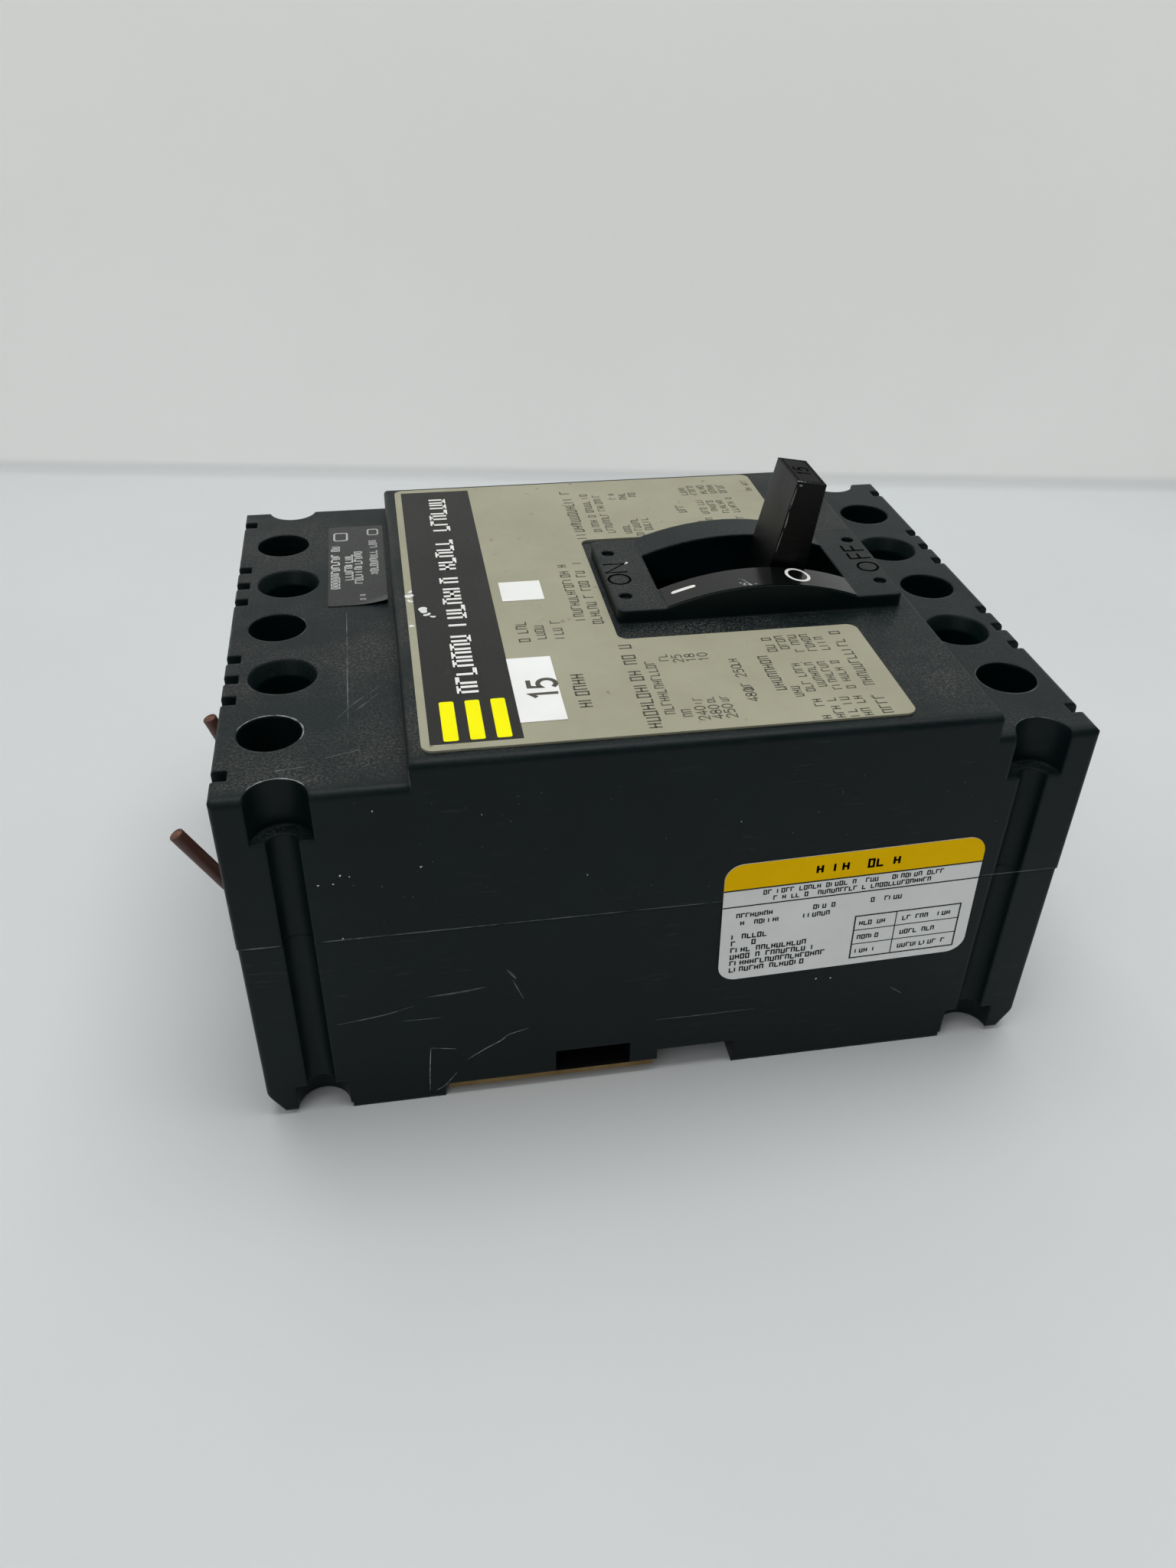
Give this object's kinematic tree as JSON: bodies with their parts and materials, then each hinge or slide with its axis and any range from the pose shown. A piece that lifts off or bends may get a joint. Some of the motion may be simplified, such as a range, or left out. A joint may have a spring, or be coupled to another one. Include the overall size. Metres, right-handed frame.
{
  "type": "moulded-case circuit breaker",
  "caption": "Black moulded-case circuit breaker with a leaning toggle handle in an arched escutcheon, screw lugs at both ends and a trip mechanism inside.",
  "frame": {"origin": "centre of the mounting face, on the plane of the back feet", "axes": "+X from the line end to the load end, +Y across the poles, +Z out of the panel towards the handle"},
  "size_m": [0.1634, 0.1144, 0.1026],
  "materials": {
    "case_plastic": "satin black phenolic, scuffed",
    "handle_plastic": "satin black",
    "steel": "zinc-plated steel",
    "copper": "bare copper",
    "bimetal": "bare strip",
    "aluminium": "tin-plated",
    "insulation": "moulded phenolic",
    "chute": "plated steel and fibre",
    "fibre": "vulcanised fibre",
    "plate": "satin printed plate",
    "paper": "printed label",
    "foil": "dark printed foil",
    "wire": "thermoplastic jacket"
  },
  "bodies": {
    "case": {"base": "case_plastic", "cover": "case_plastic", "case_screws": "steel", "back_fibre_plate": "fibre", "rating_plate": "plate", "plate_stickers": "paper", "side_label": "paper", "foil_label": "foil", "rail_decal": "foil", "mechanism_frame": "steel", "pivot_pins": "steel", "wire_stub_a": "wire", "wire_stub_b": "wire", "line_lug_a": "aluminium", "line_lug_b": "aluminium", "line_lug_c": "aluminium", "load_lug_a": "aluminium", "load_lug_b": "aluminium", "load_lug_c": "aluminium", "line_strap_a": "copper", "line_strap_b": "copper", "line_strap_c": "copper", "load_strap_a": "copper", "load_strap_b": "copper", "load_strap_c": "copper", "arc_chute_a": "chute", "arc_chute_b": "chute", "arc_chute_c": "chute", "braid_a": "copper", "braid_b": "copper", "braid_c": "copper", "bimetal_a": "bimetal", "bimetal_b": "bimetal", "bimetal_c": "bimetal", "magnet_a": "steel", "magnet_b": "steel", "magnet_c": "steel"},
    "handle": {"handle": "handle_plastic", "handle_yoke": "steel", "main_springs": "steel"},
    "crossbar": {"crossbar": "insulation", "contact_springs": "steel", "contact_arm_a": "copper", "contact_arm_b": "copper", "contact_arm_c": "copper"},
    "cradle": {"cradle": "steel"},
    "upper_links": {"upper_links": "steel"},
    "lower_links": {"lower_links": "steel"},
    "trip_bar": {"trip_bar": "insulation"},
    "armature_a": {"armature_a": "steel"},
    "armature_b": {"armature_b": "steel"},
    "armature_c": {"armature_c": "steel"},
    "line_screw_a": {"line_screw_a": "steel"},
    "line_screw_b": {"line_screw_b": "steel"},
    "line_screw_c": {"line_screw_c": "steel"},
    "load_screw_a": {"load_screw_a": "steel"},
    "load_screw_b": {"load_screw_b": "steel"},
    "load_screw_c": {"load_screw_c": "steel"}
  },
  "joints": [
    {"name": "handle_tilt", "type": "hinge", "parent": "case", "child": "handle", "pos_m": [0.026, 0, 0.041], "axis": [0, 1, 0], "range_deg": [-27, 7.5]},
    {"name": "crossbar_swing", "type": "hinge", "parent": "case", "child": "crossbar", "pos_m": [-0.006, 0, 0.036], "axis": [0, 1, 0], "range_deg": [-26.1, 7.3]},
    {"name": "upper_link_swing", "type": "hinge", "parent": "cradle", "child": "upper_links", "pos_m": [0.018, 0, 0.062], "axis": [0, 1, 0], "range_deg": [-8.5, 30.3]},
    {"name": "lower_link_swing", "type": "hinge", "parent": "crossbar", "child": "lower_links", "pos_m": [-0.00201, 0, 0.04517], "axis": [0, 1, 0], "range_deg": [-3.3, 11.7]},
    {"name": "trip_turn", "type": "hinge", "parent": "case", "child": "trip_bar", "pos_m": [0.044, 0, 0.023], "axis": [0, 1, 0], "range_deg": [-0.1, 12.1], "stiffness_Nm_per_rad": 0.06, "springref_deg": -11.46},
    {"name": "cradle_release", "type": "hinge", "parent": "case", "child": "cradle", "pos_m": [0.034, 0, 0.036], "axis": [0, 1, 0], "range_deg": [-6, 0]},
    {"name": "armature_a_swing", "type": "hinge", "parent": "case", "child": "armature_a", "pos_m": [0.0475, -0.0381, 0.051], "axis": [0, 1, 0], "range_deg": [-3.5, 0], "stiffness_Nm_per_rad": 0.02, "springref_deg": 5.73},
    {"name": "armature_b_swing", "type": "hinge", "parent": "case", "child": "armature_b", "pos_m": [0.0475, 0, 0.051], "axis": [0, 1, 0], "range_deg": [-3.5, 0], "stiffness_Nm_per_rad": 0.02, "springref_deg": 5.73},
    {"name": "armature_c_swing", "type": "hinge", "parent": "case", "child": "armature_c", "pos_m": [0.0475, 0.0381, 0.051], "axis": [0, 1, 0], "range_deg": [-3.5, 0], "stiffness_Nm_per_rad": 0.02, "springref_deg": 5.73},
    {"name": "line_screw_a_travel", "type": "slide", "parent": "case", "child": "line_screw_a", "axis": [0, 0, 1], "range_m": [0, 0.0037]},
    {"name": "line_screw_b_travel", "type": "slide", "parent": "case", "child": "line_screw_b", "axis": [0, 0, 1], "range_m": [0, 0.0037]},
    {"name": "line_screw_c_travel", "type": "slide", "parent": "case", "child": "line_screw_c", "axis": [0, 0, 1], "range_m": [-0.006, 0]},
    {"name": "load_screw_a_travel", "type": "slide", "parent": "case", "child": "load_screw_a", "axis": [0, 0, 1], "range_m": [-0.006, 0]},
    {"name": "load_screw_b_travel", "type": "slide", "parent": "case", "child": "load_screw_b", "axis": [0, 0, 1], "range_m": [-0.006, 0]},
    {"name": "load_screw_c_travel", "type": "slide", "parent": "case", "child": "load_screw_c", "axis": [0, 0, 1], "range_m": [-0.006, 0]}
  ],
  "couplings": [
    {"joint": "crossbar_swing", "follows": "handle_tilt", "ratio": 0.963},
    {"joint": "upper_link_swing", "follows": "handle_tilt", "ratio": -1.1185},
    {"joint": "lower_link_swing", "follows": "handle_tilt", "ratio": -0.4296},
    {"joint": "trip_turn", "follows": "cradle_release", "ratio": -2}
  ]
}
